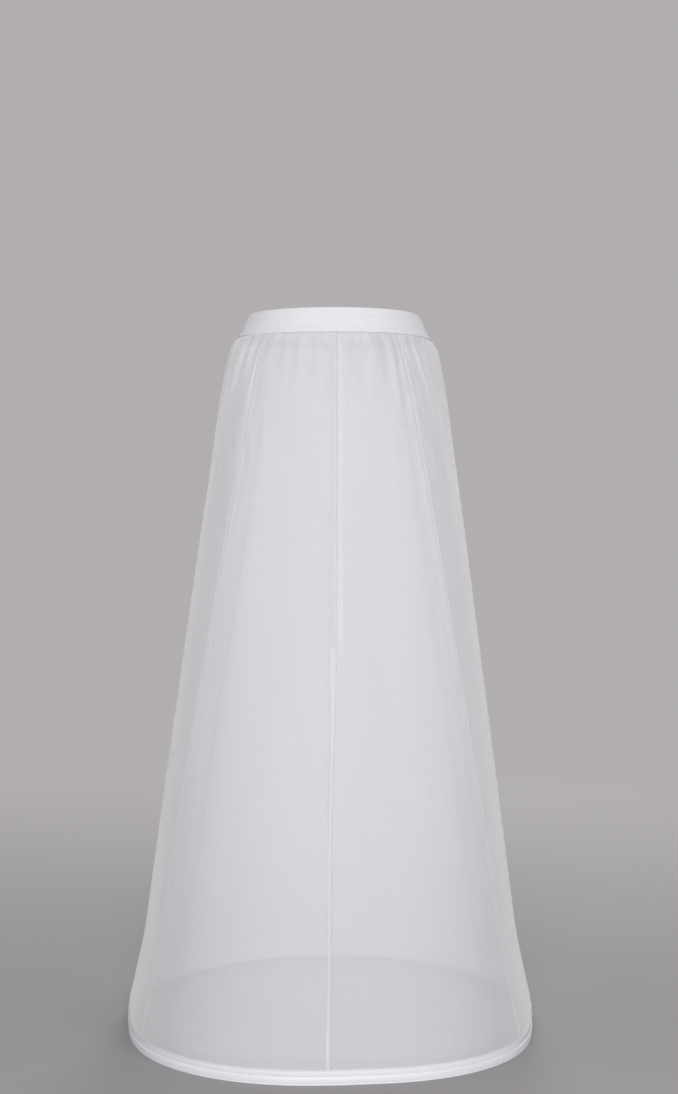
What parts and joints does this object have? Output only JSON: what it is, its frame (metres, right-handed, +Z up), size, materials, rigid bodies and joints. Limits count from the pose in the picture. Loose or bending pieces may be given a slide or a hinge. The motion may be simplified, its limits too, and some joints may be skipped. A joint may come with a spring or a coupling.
{
  "type": "hoop petticoat",
  "caption": "Floor-length sheer underskirt of flared panels gathered into an elastic waistband and held out at the hem by a sprung hoop in a tape casing.",
  "frame": {"origin": "centre of the hem, on the floor that the hem stands on", "axes": "+Z up to the waistband, centre front towards -Y, +X to the right as seen from the front"},
  "size_m": [0.6, 0.6, 1.042],
  "materials": {
    "elastic": "ribbed woven elastic",
    "sheer_cloth": "sheer plain weave",
    "hem_tape": "woven tape",
    "hoop_strip": "white coated spring steel",
    "sleeve": "crimped plated steel"
  },
  "bodies": {
    "root": {"waistband": "elastic", "front_right_gore": "sheer_cloth", "side_right_gore": "sheer_cloth", "back_right_gore": "sheer_cloth", "back_left_gore": "sheer_cloth", "side_left_gore": "sheer_cloth", "front_left_gore": "sheer_cloth", "hem_casing": "hem_tape", "hoop": "hoop_strip", "hoop_joiner": "sleeve"}
  },
  "joints": []
}
